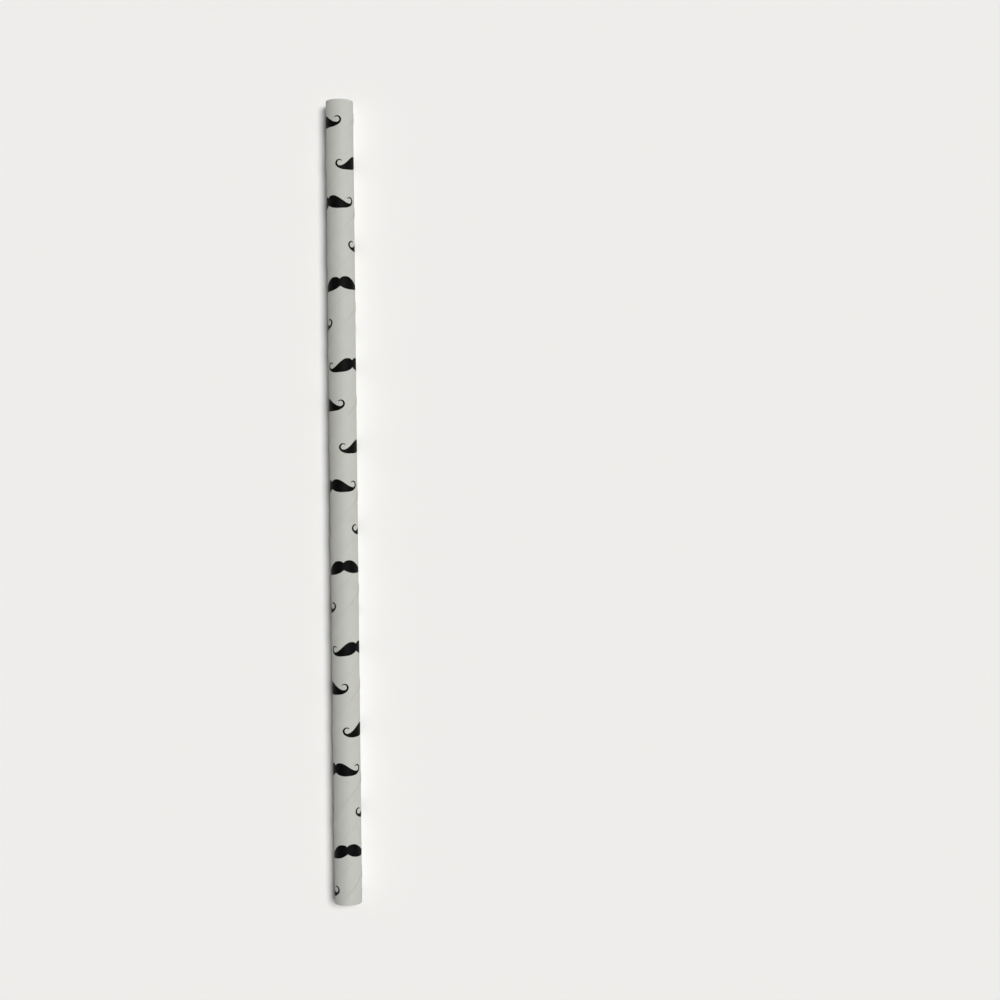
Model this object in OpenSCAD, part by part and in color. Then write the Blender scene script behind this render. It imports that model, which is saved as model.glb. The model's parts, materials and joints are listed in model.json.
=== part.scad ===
// A paper drinking straw: a tube wound from glued paper strip and cut square at both ends.
// The outer strip is white and carries one row of black moustaches. It laps over its own edge
// by a narrow margin, so a fine raised seam winds along the straw.
// The straw lies on its side along Y. The origin is under its middle, on the surface it lies on.

/* [Tube] */
// Length from one cut end to the other
straw_len = 197; // [120:1:260]
// Diameter of the bore
bore_d = 6; // [5.6:0.1:8]
// Thickness of the glued wall, away from the seam
wall = 0.35; // [0.24:0.01:0.6]

/* [Outer strip] */
// Width of the strip
strip_w = 16.58; // [15:0.02:18]
// How far each turn of the strip laps over the turn beside it
lap_w = 1; // [0.5:0.1:1.4]
// Thickness of the strip, which is how far its lapped edge stands proud
strip_t = 0.1; // [0.06:0.01:0.16]
// Width over which the lapped strip settles back onto the wall
settle_w = 0.6; // [0.4:0.1:0.8]

/* [Row of moustaches] */
// Spacing of the moustaches along the strip
row_step = 13.39; // [12:0.01:24]
// Angle between a moustache and the run of the strip
row_turn = 44; // [30:0.1:60]
// Distance from the +Y end to the middle of the moustache that faces up
facing_from_end = 45; // [20:1:100]
// Turn of that moustache about the straw's axis, from facing straight up
facing_roll = 0; // [-90:0.1:90]
// Shortest distance from a cut end to the middle of a moustache
end_margin = 2.5; // [2.5:0.1:10]
// Thickness of the ink
ink_t = 0.02; // [0.01:0.01:0.04]

/* [Moustache] */
// Width across the two curls
moustache_w = 13.7; // [12:0.1:15]
// Height of the notch between the two lobes, above the middle of the row
notch_high = 1.05; // [0.8:0.05:1.3]
// Slope at which a lobe rises out of that notch
notch_rise = 1.15; // [0.6:0.05:1.5]
// Depth of the notch under the lip, below the middle of the row
notch_low = 0.7; // [0.4:0.05:1]
// Slope at which a wing falls away from that notch
notch_fall = 0.8; // [0.4:0.05:1.2]
// Distance from the middle to the top of a lobe
lobe_x = 1.5; // [1.2:0.05:2]
// Height of a lobe above the middle of the row
lobe_high = 1.6; // [1.4:0.05:1.9]
// Distance from the middle to the lowest point of a wing
wing_x = 4.25; // [3.6:0.05:4.5]
// Depth of a wing below the middle of the row
wing_low = 1.7; // [1.5:0.05:2]
// Radius of the round gap inside a curl
curl_r = 0.65; // [0.5:0.05:0.8]
// Width of the line at the outside of a curl
curl_line = 0.5; // [0.3:0.05:0.6]
// Width of the line at the tip of a curl
curl_tip = 0.16; // [0.1:0.02:0.3]
// How far a curl turns back over its wing, from its outermost point
curl_end = 130; // [90:5:150]

/* [Hidden] */

wall_r = bore_d / 2 + wall;
rest_r = wall_r + strip_t;
around = 2 * PI * wall_r;
deg_per_mm = 360 / around;

// Each turn of the strip advances by its width less the lap, measured square to its run.
// The run leans from the straw's axis by run_angle and climbs by pitch in one turn.
advance = strip_w - lap_w;
run_angle = acos(advance / around);
pitch = around / tan(run_angle);

// The row of moustaches follows the middle of the strip, half its width from the lapped edge.
// These lengths lie along the straw, from the middle of the row to the seam.
row_y = straw_len / 2 - facing_from_end;
lap_edge_y = row_y + strip_w / 2 / sin(run_angle);
lap_y = lap_w / sin(run_angle);
settle_y = settle_w / sin(run_angle);

// The seam is rooted below the wall's surface, and its slope runs on down to its root.
// Its facets are counted from where its edge passes straight over the straw's axis.
seam_root = strip_t;
seam_w_y = lap_y + settle_y * (1 + seam_root / strip_t);
seam_facets = 40;
seam_top_y = lap_edge_y - pitch * facing_roll / 360;
first_seam_facet = floor((-straw_len / 2 - seam_top_y) / pitch * seam_facets) - 1;
last_seam_facet = ceil((straw_len / 2 + seam_w_y - seam_top_y) / pitch * seam_facets) + 1;

// The middle of a curl, and the stations that cut a wing and a curl into short pieces.
curl_x = moustache_w / 2 - curl_r - curl_line;
wing_stations = 12;
curl_stations = 12;
moustache_tilt = 90 - run_angle - row_turn;
step_y = row_step * cos(run_angle);
step_roll = row_step * sin(run_angle) * deg_per_mm;
first_moustache = ceil((end_margin - facing_from_end) / step_y);
last_moustache = floor((straw_len - end_margin - facing_from_end) / step_y);

bore_clear = 1;
tube_facets = 96;

// A point at radius r from the straw's axis, turned from straight up towards +X.
function around_axis(r, turn, y) = [r * sin(turn), y, r * cos(turn)];

// The value at share t of the way from a to b.
function between(a, b, t) = a + (b - a) * t;

// A curve in x that leaves [x0, y0] with one slope and reaches [x1, y1] with another.
function eased(x, x0, y0, slope0, x1, y1, slope1) =
    let (t = (x - x0) / (x1 - x0), rise = y1 - y0, run = x1 - x0)
    y0 + run * slope0 * t * (1 - t) * (1 - t) + rise * t * t * (3 - 2 * t)
       - run * slope1 * t * t * (1 - t);

// Upper edge of a wing, over the lobe and down to the bottom of the curl's round gap.
function upper_edge(x) = x < lobe_x
    ? eased(x, 0, notch_high, notch_rise, lobe_x, lobe_high, 0)
    : eased(x, lobe_x, lobe_high, 0, curl_x, -curl_r, 0);

// Lower edge of a wing, from the notch to its lowest point and up around the curl.
// Its outer stretch is a quarter of an ellipse that ends at the curl's outermost point.
function lower_edge(x) = x < wing_x
    ? eased(x, 0, -notch_low, -notch_fall, wing_x, -wing_low, 0)
    : -wing_low * sqrt(1 - pow((x - wing_x) / (moustache_w / 2 - wing_x), 2));

// One station across a wing, as its upper and its lower point.
function wing_station(i) =
    let (x = curl_x * i / wing_stations)
    [[x, upper_edge(x)], [x, lower_edge(x)]];

// One station across a curl, as its inner and its outer point.
function curl_station(i) =
    let (turn = between(-90, curl_end, i / curl_stations),
         reach = moustache_w / 2 - wing_x,
         start = asin((curl_x - wing_x) / reach),
         sweep = between(start, 90, (turn + 90) / 90),
         r = curl_r + between(curl_line, curl_tip, turn / curl_end))
    [[curl_x + curl_r * cos(turn), curl_r * sin(turn)],
     turn < 0 ? [wing_x + reach * sin(sweep), -wing_low * cos(sweep)]
              : [curl_x + r * cos(turn), r * sin(turn)]];

half_stations = concat(
    [for (i = [0 : wing_stations]) wing_station(i)],
    [for (i = [1 : curl_stations]) curl_station(i)]);
half_count = len(half_stations);

// All stations from the left tip to the right tip. The left half mirrors the right one.
stations = concat(
    [for (i = [half_count - 1 : -1 : 1])
        [for (p = half_stations[i]) [-p[0], p[1]]]],
    half_stations);

// A point of the print, tilted on the strip and laid round the straw at radius r.
function tilted(p) = [
    p[0] * cos(moustache_tilt) - p[1] * sin(moustache_tilt),
    p[0] * sin(moustache_tilt) + p[1] * cos(moustache_tilt)];
function printed(p, r) =
    let (q = tilted(p)) around_axis(r, q[0] * deg_per_mm, q[1]);

// The print is made of flat facets. Its inner radius is the wall's, and as much more as keeps
// the widest facet clear of the round wall.
facet_spans = [for (i = [0 : len(stations) - 2])
    let (xs = [for (s = [stations[i], stations[i + 1]]) for (p = s) tilted(p)[0]])
    max(xs) - min(xs)];
ink_r = wall_r / cos(max(facet_spans) * deg_per_mm / 2);

// Faces of a four-sided strip through a row of rings of four points each.
function strip_faces(rings) = concat(
    [[0, 1, 2], [0, 2, 3]],
    [for (k = [0 : rings - 2]) for (j = [0 : 3])
        let (a = 4 * k + j, b = 4 * k + (j + 1) % 4) each [[a, a + 4, b + 4], [a, b + 4, b]]],
    [[4 * rings - 4, 4 * rings - 2, 4 * rings - 3], [4 * rings - 4, 4 * rings - 1, 4 * rings - 2]]);

// One moustache, facing straight up at the middle of the straw's axis.
module moustache() {
    points = [for (s = stations) each [
        printed(s[1], ink_r), printed(s[0], ink_r),
        printed(s[0], ink_r + ink_t), printed(s[1], ink_r + ink_t)]];
    polyhedron(points, strip_faces(len(stations)));
}

// The raised seam, running past both ends of the straw.
module seam() {
    rings = last_seam_facet - first_seam_facet + 1;
    points = [for (k = [first_seam_facet : last_seam_facet])
        let (turn = 360 * k / seam_facets, y = seam_top_y + pitch * k / seam_facets)
        each [
            around_axis(wall_r - seam_root, turn, y),
            around_axis(rest_r, turn, y),
            around_axis(rest_r, turn, y - lap_y),
            around_axis(wall_r - seam_root, turn, y - seam_w_y)]];
    polyhedron(points, strip_faces(rings));
}

// A round bar along the straw's axis, longer than the straw by extra at each end.
module bar(r, extra = 0) {
    rotate([90, 0, 0])
        cylinder(h = straw_len + 2 * extra, r = r, center = true, $fn = tube_facets);
}

module paper_tube() {
    color("whitesmoke") translate([0, 0, rest_r]) union() {
        difference() {
            bar(wall_r);
            bar(bore_d / 2, bore_clear);
        }
        intersection() {
            seam();
            bar(2 * rest_r);
        }
    }
}

module moustache_print() {
    color("black") translate([0, 0, rest_r])
        for (i = [first_moustache : last_moustache])
            translate([0, row_y - i * step_y, 0])
                rotate([0, facing_roll - i * step_roll, 0])
                    moustache();
}

paper_tube();
moustache_print();
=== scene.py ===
import json
import math

import bmesh
import bpy
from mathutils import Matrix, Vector


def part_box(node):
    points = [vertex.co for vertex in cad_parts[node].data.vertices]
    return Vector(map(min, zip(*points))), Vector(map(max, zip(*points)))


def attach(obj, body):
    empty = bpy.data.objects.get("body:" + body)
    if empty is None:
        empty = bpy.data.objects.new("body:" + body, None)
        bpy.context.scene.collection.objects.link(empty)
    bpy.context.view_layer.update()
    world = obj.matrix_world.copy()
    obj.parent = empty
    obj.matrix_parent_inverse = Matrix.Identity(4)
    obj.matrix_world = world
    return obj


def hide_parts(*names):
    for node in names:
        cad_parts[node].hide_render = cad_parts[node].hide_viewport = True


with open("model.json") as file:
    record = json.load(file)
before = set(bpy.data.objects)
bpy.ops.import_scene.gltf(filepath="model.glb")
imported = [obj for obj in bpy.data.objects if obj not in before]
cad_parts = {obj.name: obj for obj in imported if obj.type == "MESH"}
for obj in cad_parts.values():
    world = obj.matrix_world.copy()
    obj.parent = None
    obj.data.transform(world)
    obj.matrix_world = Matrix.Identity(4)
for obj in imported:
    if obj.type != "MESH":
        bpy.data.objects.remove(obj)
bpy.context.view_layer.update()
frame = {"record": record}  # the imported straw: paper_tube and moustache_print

mm = 0.001
quarter = math.pi / 2
fullTurn = 2 * math.pi
print("stage: frame loaded")


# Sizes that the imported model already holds

mounts = {mount["name"]: mount["dims"] for mount in frame["record"]["mounts"]}
tubeLow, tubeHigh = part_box("paper_tube")
strawLength = tubeHigh.y - tubeLow.y
axisHeight = (tubeLow.z + tubeHigh.z) / 2
restRadius = mounts["outside"]["r_mm"] * mm  # out to the lapped seam
boreRadius = mounts["bore"]["r_mm"] * mm

strip = {
    "width": 16.58 * mm,
    "thickness": 0.1 * mm,
    "lap": 1.0 * mm,  # how far each turn covers the one beside it
    "settle": 0.6 * mm,  # run-out from the lap back to the wall
}

wallRadius = restRadius - strip["thickness"]
around = fullTurn * wallRadius
runAngle = math.acos((strip["width"] - strip["lap"]) / around)  # from the straw's axis
pitch = around / math.tan(runAngle)

row = {
    "step": 13.39 * mm,  # along the strip
    "turn": math.radians(44),  # between a moustache and the strip's run
    "facingFromEnd": 45 * mm,
    "facingRoll": 0.0,
    "endMargin": 2.5 * mm,
}

rowY = strawLength / 2 - row["facingFromEnd"]
seamTopY = rowY + strip["width"] / 2 / math.sin(runAngle) - pitch * row["facingRoll"] / fullTurn


# Node helpers

class Value:  # a socket that takes part in sums
    def __init__(self, net, socket):
        self.net = net
        self.socket = socket

    def __add__(self, other):
        return self.net.maths("ADD", self, other)

    def __radd__(self, other):
        return self.net.maths("ADD", other, self)

    def __sub__(self, other):
        return self.net.maths("SUBTRACT", self, other)

    def __rsub__(self, other):
        return self.net.maths("SUBTRACT", other, self)

    def __mul__(self, other):
        return self.net.maths("MULTIPLY", self, other)

    def __rmul__(self, other):
        return self.net.maths("MULTIPLY", other, self)

    def __truediv__(self, other):
        return self.net.maths("DIVIDE", self, other)

    def __rtruediv__(self, other):
        return self.net.maths("DIVIDE", other, self)

    def __mod__(self, other):
        return self.net.maths("FLOORED_MODULO", self, other)

    def __gt__(self, other):
        return self.net.maths("GREATER_THAN", self, other)

    def __abs__(self):
        return self.net.maths("ABSOLUTE", self)

    def sin(self):
        return self.net.maths("SINE", self)

    def cos(self):
        return self.net.maths("COSINE", self)

    def atLeast(self, other):
        return self.net.maths("MAXIMUM", self, other)

    def atMost(self, other):
        return self.net.maths("MINIMUM", self, other)

    def kept(self):  # between 0 and 1
        return self.atLeast(0.0).atMost(1.0)

    def smooth(self):  # eased from 0 to 1
        share = self.kept()
        return share * share * (3.0 - 2.0 * share)

    def towards(self, other, share):
        return self + (other - self) * share


class Net:  # one node tree
    def __init__(self, tree):
        self.tree = tree
        tree.nodes.clear()

    def node(self, kind, settings=None, sockets=None):
        made = self.tree.nodes.new(kind)
        for name, value in (settings or {}).items():
            if name == "choices":  # the values that an index switch picks from
                for _ in range(len(value) - len(made.index_switch_items)):
                    made.index_switch_items.new()
                for place, choice in enumerate(value):
                    made.inputs[place + 1].default_value = choice
            else:
                setattr(made, name, value)
        for key, value in (sockets or {}).items():
            if isinstance(value, Value):
                self.tree.links.new(value.socket, made.inputs[key])
            else:
                made.inputs[key].default_value = value
        return made

    def out(self, made, name=0):
        return Value(self, made.outputs[name])

    def maths(self, operation, *values):
        sockets = dict(enumerate(values))
        return self.out(self.node("ShaderNodeMath", {"operation": operation}, sockets))

    def vector(self, x, y, z):
        return self.out(self.node("ShaderNodeCombineXYZ", None, {0: x, 1: y, 2: z}))

    def parts(self, vector):
        split = self.node("ShaderNodeSeparateXYZ", None, {0: vector})
        return [self.out(split, place) for place in range(3)]

    def blend(self, share, first, second):  # two colours, as (r, g, b, 1) or links
        # the Mix node keeps its factor in socket 0, its colours in 6 and 7, and the result in 2
        mixed = self.node("ShaderNodeMix", {"data_type": "RGBA"}, {0: share, 6: first, 7: second})
        return self.out(mixed, 2)

    def noise(self, vector, size, detail, roughness):  # size is that of one blotch
        sockets = {"Vector": vector, "Scale": 1 / size, "Detail": detail, "Roughness": roughness}
        return self.out(self.node("ShaderNodeTexNoise", None, sockets))


def geometryNet(name, sizes):  # a tree with one input for each size
    tree = bpy.data.node_groups.new(name, "GeometryNodeTree")
    tree.interface.new_socket("Geometry", in_out="INPUT", socket_type="NodeSocketGeometry")
    tree.interface.new_socket("Geometry", in_out="OUTPUT", socket_type="NodeSocketGeometry")
    for label, value in sizes.items():
        kind = "NodeSocketInt" if isinstance(value, int) else "NodeSocketFloat"
        tree.interface.new_socket(label, in_out="INPUT", socket_type=kind)
    net = Net(tree)
    entry = net.node("NodeGroupInput")
    return net, {socket.name: Value(net, socket) for socket in entry.outputs if socket.name}


def closeNet(net, shape, material):  # every tree ends in these
    real = net.node("GeometryNodeRealizeInstances", None, {"Geometry": shape})
    dressed = net.node("GeometryNodeSetMaterial", None,
                       {"Geometry": net.out(real), "Material": material})
    net.node("NodeGroupOutput", None, {0: net.out(dressed)})


def runNet(name, net, sizes, base):  # the tree's result as a plain mesh
    piece = bpy.data.objects.new(name, base)
    bpy.context.collection.objects.link(piece)
    modifier = piece.modifiers.new(name, "NODES")
    modifier.node_group = net.tree
    for item in net.tree.interface.items_tree:
        if item.item_type == "SOCKET" and item.in_out == "INPUT" and item.name in sizes:
            modifier[item.identifier] = sizes[item.name]
    depsgraph = bpy.context.evaluated_depsgraph_get()
    mesh = bpy.data.meshes.new_from_object(piece.evaluated_get(depsgraph), depsgraph=depsgraph)
    piece.modifiers.remove(modifier)
    piece.data = mesh
    mesh.name = name
    return piece


shortEdge = 0.0005 * mm  # what is shorter is dissolved


def finishMesh(piece, sharpAngle):  # outward faces, soft shading with crisp edges
    work = bmesh.new()
    work.from_mesh(piece.data)
    bmesh.ops.dissolve_degenerate(work, dist=shortEdge, edges=work.edges)
    bmesh.ops.recalc_face_normals(work, faces=work.faces)
    for face in work.faces:
        face.smooth = True
    for edge in work.edges:
        edge.smooth = edge.is_manifold and edge.calc_face_angle(0.0) < sharpAngle
    openEdges = sum(1 for edge in work.edges if not edge.is_manifold)
    work.to_mesh(piece.data)
    work.free()
    print(f"stage: {piece.name}, {len(piece.data.polygons)} faces, {openEdges} open edges")


# Finishes

paperLook = {
    "light": (0.562, 0.574, 0.537, 1),
    "shade": (0.512, 0.525, 0.490, 1),
    "edge": (0.33, 0.32, 0.28, 1),  # the strip's cut edge, the glue between plies, and the painted shadow at the foot of the lapped edge
    "contrast": 2.4,  # between the light and the shade
    "roughness": 0.58,
    "roughnessSpread": 0.16,
    "gloss": 0.4,
    "noiseDetail": 3.0,
    "cloudSize": 2.4 * mm,
    "cloudNoise": 0.5,  # how rough the noise itself is
    "cloudShare": 0.4,  # of the paper's change in tone
    "cloudRelief": 0.022 * mm,
    "grainSize": 0.15 * mm,
    "grainNoise": 0.65,
    "grainShare": 0.25,
    "grainRelief": 0.008 * mm,
    "fibreWidth": 0.10 * mm,
    "fibreStretch": 0.08,  # along the strip, against across it
    "fibreNoise": 0.6,
    "fibreShare": 0.35,
    "fibreRelief": 0.012 * mm,
    "edgeLine": 0.06 * mm,  # along the lapped edge
    "edgeTint": 0.25,
    "footShadow": 0.09 * mm,  # painted shadow, with a little dirt, on the wall at the foot of that edge
    "footShadowTint": 0.40,
    "innerSeams": (0.36, 0.71),  # shares of the pitch where the plies below meet
    "innerSeamWidth": 0.5 * mm,
    "innerSeamDepth": 0.009 * mm,
    "innerSeamTint": 0.10,
    "boreSeam": 0.52,  # share of the pitch where the innermost ply meets itself
    "boreSeamWidth": 0.12 * mm,
    "boreSeamDepth": 0.03 * mm,
    "boreSeamTint": 0.5,
    "endBand": 0.0315 * mm,  # as far below a cut end the plies show
    "endTint": 0.08,
    "glueWidth": 0.20,  # share of a ply
    "glueTint": 0.6,
}


class Surface:  # what both finishes read from a point on the wound straw
    def __init__(self, net):
        look = paperLook
        place = net.out(net.node("ShaderNodeTexCoord"), "Object")
        x, self.y, z = net.parts(place)
        up = z - axisHeight
        angle = net.maths("ARCTAN2", x, up)
        self.radius = net.maths("SQRT", x * x + up * up)
        self.below = (angle * (pitch / fullTurn) + seamTopY - self.y) % pitch  # from the seam's edge
        unwound = angle - self.y * (fullTurn / pitch)
        run = net.vector(unwound.cos() * wallRadius, unwound.sin() * wallRadius,
                         self.y * look["fibreStretch"])
        detail = look["noiseDetail"]
        self.cloud = net.noise(place, look["cloudSize"], detail, look["cloudNoise"])
        self.grain = net.noise(place, look["grainSize"], detail, look["grainNoise"])
        self.fibre = net.noise(run, look["fibreWidth"], detail, look["fibreNoise"])

    def relief(self, share):  # height of the paper's own texture
        look = paperLook
        fine = self.fibre * (look["fibreRelief"] * share) + self.grain * (look["grainRelief"] * share)
        return fine + self.cloud * look["cloudRelief"]


def startMaterial(name):
    material = bpy.data.materials.new(name)
    material.use_nodes = True
    net = Net(material.node_tree)
    shader = net.node("ShaderNodeBsdfPrincipled")
    net.node("ShaderNodeOutputMaterial", None, {"Surface": net.out(shader)})
    return material, net, shader


def joinSocket(net, value, shader, name):
    net.tree.links.new(value.socket, shader.inputs[name])


def joinBump(net, height, shader):
    bump = net.node("ShaderNodeBump", None, {"Strength": 1.0, "Distance": 1.0, "Height": height})
    joinSocket(net, net.out(bump), shader, "Normal")


def makePaper():
    look = paperLook
    material, net, shader = startMaterial("whitePaper")
    skin = Surface(net)
    tone = (skin.cloud * look["cloudShare"] + skin.fibre * look["fibreShare"]
            + skin.grain * look["grainShare"])
    tone = (tone - 0.5) * look["contrast"] + 0.5
    colour = net.blend(tone.kept(), look["shade"], look["light"])

    def nearSeam(share, width):  # 1 along a seam at this share of the pitch, and 0 beside it
        return (1.0 - abs(skin.below - share * pitch) / width).smooth()

    dips = sum(nearSeam(share, look["innerSeamWidth"]) for share in look["innerSeams"])
    colour = net.blend(dips * look["innerSeamTint"], colour, look["edge"])

    outer = skin.radius > (boreRadius + wallRadius) / 2
    # the lapped edge's cut is darker paper; the line at its foot is painted shadow, with a little
    # dirt, where the step shades the wall
    edgeLine = (1.0 - skin.below / look["edgeLine"]).kept()
    footShadow = (1.0 - (pitch - skin.below) / look["footShadow"]).kept()
    cutEdgeAndShadow = edgeLine * look["edgeTint"] + footShadow * look["footShadowTint"]
    colour = net.blend(cutEdgeAndShadow * outer, colour, look["edge"])

    boreJoint = nearSeam(look["boreSeam"], look["boreSeamWidth"]) * (1.0 - outer)
    colour = net.blend(boreJoint * look["boreSeamTint"], colour, look["edge"])

    atEnd = abs(skin.y) > strawLength / 2 - look["endBand"]
    depth = (skin.radius - boreRadius) / (wallRadius - boreRadius)
    plies = abs((depth * tubeShape["plies"]) % 1.0 - 0.5)  # 0.5 where two plies meet
    glue = ((plies - (0.5 - look["glueWidth"])) / look["glueWidth"]).smooth()
    colour = net.blend(atEnd * (glue * look["glueTint"] + look["endTint"]), colour, look["edge"])

    sunk = dips * look["innerSeamDepth"] + boreJoint * look["boreSeamDepth"]
    joinBump(net, skin.relief(1.0) - sunk, shader)
    joinSocket(net, colour, shader, "Base Color")
    joinSocket(net, look["roughness"] + skin.grain * look["roughnessSpread"], shader, "Roughness")
    shader.inputs["Specular IOR Level"].default_value = look["gloss"]
    return material


inkLook = {
    "deep": (0.0012, 0.0012, 0.0013, 1),
    "thin": (0.0050, 0.0050, 0.0051, 1),  # where the paper's fibres show through
    "thinFrom": 0.45,  # height of grain and fibres from which the ink is thin
    "thinContrast": 4.0,
    "relief": 0.6,  # share of the paper's fine texture that is left
    "roughness": 0.50,
    "roughnessSpread": 0.16,
    "gloss": 0.07,
}


def makeInk():
    look = inkLook
    material, net, shader = startMaterial("blackInk")
    skin = Surface(net)
    raised = skin.grain * 0.5 + skin.fibre * 0.5
    thinness = ((raised - look["thinFrom"]) * look["thinContrast"]).kept()
    joinBump(net, skin.relief(look["relief"]), shader)
    joinSocket(net, net.blend(thinness, look["deep"], look["thin"]), shader, "Base Color")
    joinSocket(net, look["roughness"] + skin.grain * look["roughnessSpread"], shader, "Roughness")
    shader.inputs["Specular IOR Level"].default_value = look["gloss"]
    return material


# The wound tube

tubeShape = {
    "columns": 160,  # round the straw
    "lapRows": 10,  # over the lap and its run-out
    "plainRows": 5,  # over the rest of a turn
    "plies": 3,
    "endRound": 0.045 * mm,
    "fray": 0.022 * mm,  # unevenness of the cut
    "frayScale": 9.0,
    "frayDetail": 2.0,
    "seed": 4.0,  # of that unevenness
    "cutTolerance": 0.0001 * mm,  # a point that moves less at an end isn't cut off
    "mergeGap": 0.002 * mm,  # nearer points become one
    "sharpAngle": math.radians(38),
    # from the outer corner of a cut end to its inner corner:
    # share of the wall, and depth below the cut in units of endRound
    "endSteps": [
        (0.0, 1.0), (0.03, 0.42), (0.10, 0.08), (0.29, 0.0), (0.325, 0.55), (0.36, 0.0),
        (0.63, 0.0), (0.665, 0.55), (0.70, 0.0), (0.90, 0.08), (0.97, 0.42), (1.0, 1.0),
    ],
}


def makeTube(material):
    shape = tubeShape
    columns = shape["columns"]
    rows = shape["lapRows"] + shape["plainRows"] + 1
    firstColumn = math.floor((-strawLength / 2 - seamTopY) / pitch * columns) - 1
    lastColumn = math.ceil((strawLength / 2 + pitch - seamTopY) / pitch * columns) + 1
    steps = len(shape["endSteps"])
    sizes = {
        "Length": strawLength,
        "Wall Radius": wallRadius,
        "Bore Radius": boreRadius,
        "Lap Height": strip["thickness"],
        "Lap": strip["lap"] / math.sin(runAngle),
        "Settle": strip["settle"] / math.sin(runAngle),
        "Pitch": pitch,
        "Seam Top": seamTopY,
        "End Round": shape["endRound"],
        "Fray": shape["fray"],
        "Seed": shape["seed"],
    }
    net, size = geometryNet("windTube", sizes)
    endY = size["Length"] * 0.5 - size["End Round"]

    def grid(columnCount, rowCount):  # its points count columns in x and rows in y
        sockets = {"Size X": float(columnCount), "Size Y": float(rowCount),
                   "Vertices X": columnCount + 1, "Vertices Y": rowCount + 1}
        made = net.out(net.node("GeometryNodeMeshGrid", None, sockets))
        x, y, _ = net.parts(net.out(net.node("GeometryNodeInputPosition")))
        column = net.maths("ROUND", x + columnCount / 2)
        rowPlace = net.maths("ROUND", y + rowCount / 2)
        return made, column, rowPlace

    def lift(below):  # 1 on the lap, easing to 0 beyond it
        return 1.0 - ((below - size["Lap"]) / size["Settle"]).smooth()

    def laid(radius, angle, y):
        return net.vector(radius * angle.sin(), y, radius * angle.cos() + axisHeight)

    def moved(mesh, place):
        return net.out(net.node("GeometryNodeSetPosition", None, {0: mesh, "Position": place}))

    # Outside: the strip's turns, cut off at both ends
    mesh, column, rowPlace = grid(lastColumn - firstColumn, rows)
    angle = (column + float(firstColumn)) * (fullTurn / columns)
    edgeY = size["Seam Top"] + angle * (size["Pitch"] / fullTurn)
    lapShare = ((rowPlace - 1.0) / float(shape["lapRows"])).kept()
    plainShare = ((rowPlace - 1.0 - shape["lapRows"]) / float(shape["plainRows"])).kept()
    lapped = size["Lap"] + size["Settle"]
    below = lapShare * lapped + plainShare * (size["Pitch"] - lapped)
    rawY = edgeY - below
    y = rawY.atMost(endY).atLeast(0.0 - endY)
    cut = abs(rawY - y) > shape["cutTolerance"]
    below = below.towards((edgeY - y) % size["Pitch"], cut)
    foot = (1.0 - (rowPlace > 0.5)) * (1.0 - cut)  # the first row lies at the edge's foot
    rise = lift(below) * (1.0 - foot)
    outside = moved(mesh, laid(size["Wall Radius"] + rise * size["Lap Height"], angle, y))

    # Inside: from one end's outer corner over its cut, through the bore and over the other cut
    mesh, column, rowPlace = grid(columns, 2 * steps - 1)
    angle = column * (fullTurn / columns)
    step = rowPlace.atMost(2.0 * steps - 1.0 - rowPlace)
    side = 1.0 - 2.0 * (rowPlace > steps - 0.5)
    index = {"Index": step}
    shares = {"data_type": "FLOAT", "choices": [share for share, _ in shape["endSteps"]]}
    depths = {"data_type": "FLOAT", "choices": [depth for _, depth in shape["endSteps"]]}
    share = net.out(net.node("GeometryNodeIndexSwitch", shares, index))
    depth = net.out(net.node("GeometryNodeIndexSwitch", depths, index))
    edgeY = size["Seam Top"] + angle * (size["Pitch"] / fullTurn)
    rise = lift((edgeY - side * endY) % size["Pitch"])
    outerRadius = size["Wall Radius"] + rise * size["Lap Height"]
    radius = outerRadius.towards(size["Bore Radius"], share)
    noisePlace = net.vector(angle.sin(), side, angle.cos())
    noiseSockets = {"Vector": noisePlace, "W": size["Seed"],
                    "Scale": shape["frayScale"], "Detail": shape["frayDetail"]}
    unevenness = net.out(net.node("ShaderNodeTexNoise", {"noise_dimensions": "4D"}, noiseSockets))
    fray = unevenness * size["Fray"] * (1.0 - depth)
    y = side * (size["Length"] * 0.5 - depth * size["End Round"] - fray)
    inside = moved(mesh, laid(radius, angle, y))

    joined = net.node("GeometryNodeJoinGeometry")
    for part in (inside, outside):
        net.tree.links.new(part.socket, joined.inputs[0])
    merged = net.node("GeometryNodeMergeByDistance", None,
                      {0: net.out(joined), "Distance": shape["mergeGap"]})
    closeNet(net, net.out(merged), material)
    tube = runNet("woundTube", net, sizes, bpy.data.meshes.new("empty"))
    finishMesh(tube, shape["sharpAngle"])
    return tube


# The printed row

moustache = {
    "width": 13.7 * mm,
    "notchHigh": 1.05 * mm,
    "notchRise": 1.15,
    "notchLow": 0.7 * mm,
    "notchFall": 0.8,
    "lobeX": 1.5 * mm,
    "lobeHigh": 1.6 * mm,
    "wingX": 4.25 * mm,
    "wingLow": 1.7 * mm,
    "curlRadius": 0.65 * mm,
    "curlLine": 0.5 * mm,
    "curlTip": 0.16 * mm,
    "curlEnd": math.radians(130),
    "wingStations": 40,
    "curlStations": 36,
    "tipStations": 6,  # round the tip of a curl
    "across": 4,  # steps across the line
    "lift": 0.002 * mm,  # off the wall
    "thickness": 0.008 * mm,
    "sharpAngle": math.radians(50),
}


def eased(x, x0, y0, slope0, x1, y1, slope1):  # a curve with its slope set at both ends
    share = (x - x0) / (x1 - x0)
    start = (x1 - x0) * slope0 * share * (1 - share) ** 2
    end = (x1 - x0) * slope1 * share ** 2 * (1 - share)
    return y0 + start + (y1 - y0) * share ** 2 * (3 - 2 * share) - end


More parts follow.
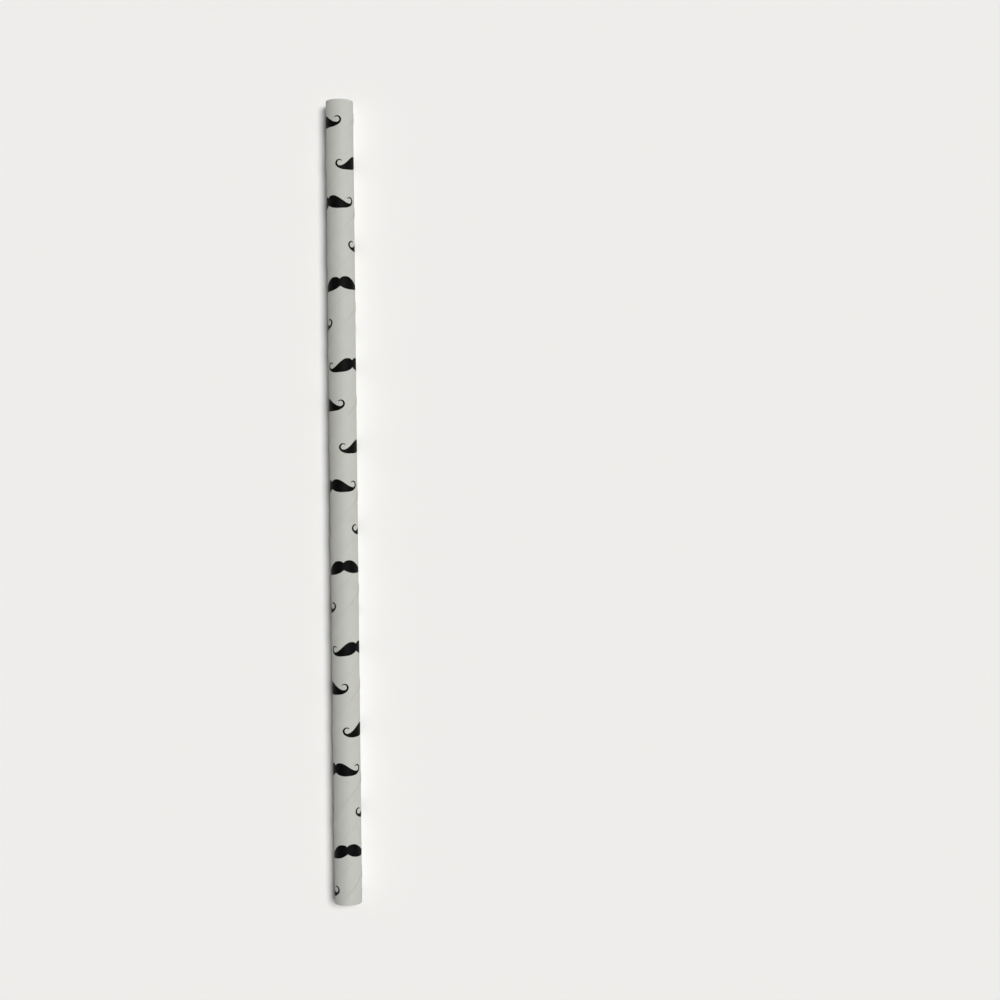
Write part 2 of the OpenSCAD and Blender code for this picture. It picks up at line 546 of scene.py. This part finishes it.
def moustacheStations():  # upper and lower points, from the left tip to the right tip
    m = moustache
    half = m["width"] / 2
    curlX = half - m["curlRadius"] - m["curlLine"]
    reach = half - m["wingX"]
    stations = []
    for i in range(m["wingStations"] + 1):
        x = curlX * i / m["wingStations"]
        if x < m["lobeX"]:
            upper = eased(x, 0, m["notchHigh"], m["notchRise"], m["lobeX"], m["lobeHigh"], 0)
        else:
            upper = eased(x, m["lobeX"], m["lobeHigh"], 0, curlX, -m["curlRadius"], 0)
        if x < m["wingX"]:
            lower = eased(x, 0, -m["notchLow"], -m["notchFall"], m["wingX"], -m["wingLow"], 0)
        else:
            lower = -m["wingLow"] * math.sqrt(1 - ((x - m["wingX"]) / reach) ** 2)
        stations.append((Vector((x, upper, 0)), Vector((x, lower, 0))))
    sweepStart = math.asin((curlX - m["wingX"]) / reach)
    for i in range(1, m["curlStations"] + 1):
        turn = -quarter + (m["curlEnd"] + quarter) * i / m["curlStations"]
        middle = Vector((curlX, 0, 0))
        ray = Vector((math.cos(turn), math.sin(turn), 0))
        if turn < 0:
            sweep = sweepStart + (quarter - sweepStart) * (turn + quarter) / quarter
            outer = Vector((m["wingX"] + reach * math.sin(sweep), -m["wingLow"] * math.cos(sweep), 0))
        else:
            line = m["curlLine"] + (m["curlTip"] - m["curlLine"]) * turn / m["curlEnd"]
            outer = middle + ray * (m["curlRadius"] + line)
        stations.append((middle + ray * m["curlRadius"], outer))
    tipRadius = m["curlTip"] / 2
    tip = middle + ray * (m["curlRadius"] + tipRadius)
    onward = Vector((-ray.y, ray.x, 0))
    for i in range(1, m["tipStations"] + 1):
        bend = quarter * i / (m["tipStations"] + 0.5)  # the last stays open a little
        ahead = tip + onward * tipRadius * math.sin(bend)
        side = ray * tipRadius * math.cos(bend)
        stations.append((ahead - side, ahead + side))
    mirrored = [tuple(Vector((-p.x, p.y, 0)) for p in pair) for pair in reversed(stations[1:])]
    return mirrored + stations


def flatMoustache():  # lies flat, tilted as it is on the strip, with its middle at the origin
    m = moustache
    tilt = quarter - runAngle - row["turn"]
    across = m["across"]
    work = bmesh.new()
    rings = []
    for upper, lower in moustacheStations():
        line = [upper.lerp(lower, i / across) for i in range(across + 1)]
        line = [Vector((p.x * math.cos(tilt) - p.y * math.sin(tilt),
                        p.x * math.sin(tilt) + p.y * math.cos(tilt), m["lift"])) for p in line]
        top = [p + Vector((0, 0, m["thickness"])) for p in reversed(line)]
        rings.append([work.verts.new(p) for p in line + top])
    corners = len(rings[0])
    for first, second in zip(rings, rings[1:]):
        for i in range(corners):
            j = (i + 1) % corners
            work.faces.new((first[i], first[j], second[j], second[i]))
    for ring in (rings[0], rings[-1]):
        for i in range(across):
            work.faces.new((ring[i], ring[i + 1], ring[corners - 2 - i], ring[corners - 1 - i]))
    mesh = bpy.data.meshes.new("flatMoustache")
    work.to_mesh(mesh)
    work.free()
    return mesh


def makePrint(material):
    stepY = row["step"] * math.cos(runAngle)
    stepX = row["step"] * math.sin(runAngle)
    first = math.ceil((row["endMargin"] - row["facingFromEnd"]) / stepY)
    last = math.floor((strawLength - row["endMargin"] - row["facingFromEnd"]) / stepY)
    sizes = {
        "Count": last - first + 1,
        "First X": -first * stepX,
        "First Y": rowY - first * stepY,
        "Step X": -stepX,
        "Step Y": -stepY,
        "Wall Radius": wallRadius,
        "Facing Roll": row["facingRoll"],
        "Axis Height": axisHeight,
    }
    net, size = geometryNet("printRow", sizes)
    start = net.vector(size["First X"], size["First Y"], 0.0)
    stride = net.vector(size["Step X"], size["Step Y"], 0.0)
    middles = net.node("GeometryNodeMeshLine", None,
                       {"Count": size["Count"], "Start Location": start, "Offset": stride})
    copies = net.node("GeometryNodeInstanceOnPoints", None,
                      {"Points": net.out(middles), "Instance": size["Geometry"]})
    flat = net.node("GeometryNodeRealizeInstances", None, {"Geometry": net.out(copies)})
    x, y, z = net.parts(net.out(net.node("GeometryNodeInputPosition")))
    angle = size["Facing Roll"] + x / size["Wall Radius"]
    radius = size["Wall Radius"] + z
    place = net.vector(radius * angle.sin(), y, radius * angle.cos() + size["Axis Height"])
    laid = net.node("GeometryNodeSetPosition", None, {0: net.out(flat), "Position": place})
    closeNet(net, net.out(laid), material)
    printed = runNet("moustacheRow", net, sizes, flatMoustache())
    finishMesh(printed, moustache["sharpAngle"])
    return printed


paper = makePaper()
ink = makeInk()
print("stage: finishes made")

tube = makeTube(paper)
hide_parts("paper_tube")
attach(tube, "root")

printed = makePrint(ink)
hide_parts("moustache_print")
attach(printed, "root")


# Floor, light and camera

studio = {
    "floorHalf": 60.0,  # far enough that the floor reaches the horizon
    "floorTone": (0.955, 0.955, 0.955, 1),
    "floorRoughness": 0.9,
    "floorGloss": 0.1,
    "keyFrom": (1.50, 0.75, 4.20),  # only its direction counts
    "keyAngle": math.radians(26.2),  # how large it looks from the straw
    "keyStrength": 2.65,
    "keyColour": (1.0, 0.99, 0.97),
    "sky": 0.10,  # light from all round, which fills the shade
    "glow": 0.755,  # added at the horizon, where the sky meets the floor's tone
    "glowRise": math.radians(14),  # height at which it has faded out
    "skyColour": (1.0, 0.992, 0.975, 1),
}

camera = {
    "lens": 56.5,
    "sensor": 36.0,
    "clipStart": 10 * mm,
    "height": 386.3 * mm,  # above the straw's axis
    "right": 38.42 * mm,  # of the straw's middle
    "up": 0.09 * mm,  # towards the straw's +Y end
    "roll": math.radians(-0.66),
}


def makeFloor():
    half = studio["floorHalf"]
    corners = [(-half, -half, 0), (half, -half, 0), (half, half, 0), (-half, half, 0)]
    mesh = bpy.data.meshes.new("floor")
    mesh.from_pydata(corners, [], [(0, 1, 2, 3)])
    floor = bpy.data.objects.new("floor", mesh)
    bpy.context.collection.objects.link(floor)
    material, net, shader = startMaterial("paleFloor")
    shader.inputs["Base Color"].default_value = studio["floorTone"]
    shader.inputs["Roughness"].default_value = studio["floorRoughness"]
    shader.inputs["Specular IOR Level"].default_value = studio["floorGloss"]
    mesh.materials.append(material)


def makeKey():
    light = bpy.data.lights.new("key", "SUN")
    light.angle = studio["keyAngle"]
    light.energy = studio["keyStrength"]
    light.color = studio["keyColour"]
    lamp = bpy.data.objects.new("key", light)
    lamp.location = studio["keyFrom"]
    lamp.rotation_mode = "QUATERNION"
    lamp.rotation_quaternion = (-lamp.location).to_track_quat("-Z", "Y")
    bpy.context.collection.objects.link(lamp)


def makeSky():
    world = bpy.data.worlds.new("sky")
    world.use_nodes = True
    net = Net(world.node_tree)
    direction = net.out(net.node("ShaderNodeTexCoord"), "Generated")
    height = net.parts(direction)[2]
    glow = (1.0 - height / math.sin(studio["glowRise"])).smooth()
    strength = studio["sky"] + glow * studio["glow"]
    backdrop = net.node("ShaderNodeBackground", None,
                        {"Color": studio["skyColour"], "Strength": strength})
    net.node("ShaderNodeOutputWorld", None, {"Surface": net.out(backdrop)})
    bpy.context.scene.world = world


def makeCamera():
    data = bpy.data.cameras.new("camera")
    data.lens = camera["lens"]
    data.sensor_width = camera["sensor"]
    data.clip_start = camera["clipStart"]
    eye = bpy.data.objects.new("camera", data)
    eye.location = (camera["right"], camera["up"], axisHeight + camera["height"])
    eye.rotation_euler = (0, 0, camera["roll"])
    bpy.context.collection.objects.link(eye)
    bpy.context.scene.camera = eye


makeFloor()
makeKey()
makeSky()
makeCamera()
bpy.context.scene.view_settings.view_transform = "Standard"
print("stage: studio made")
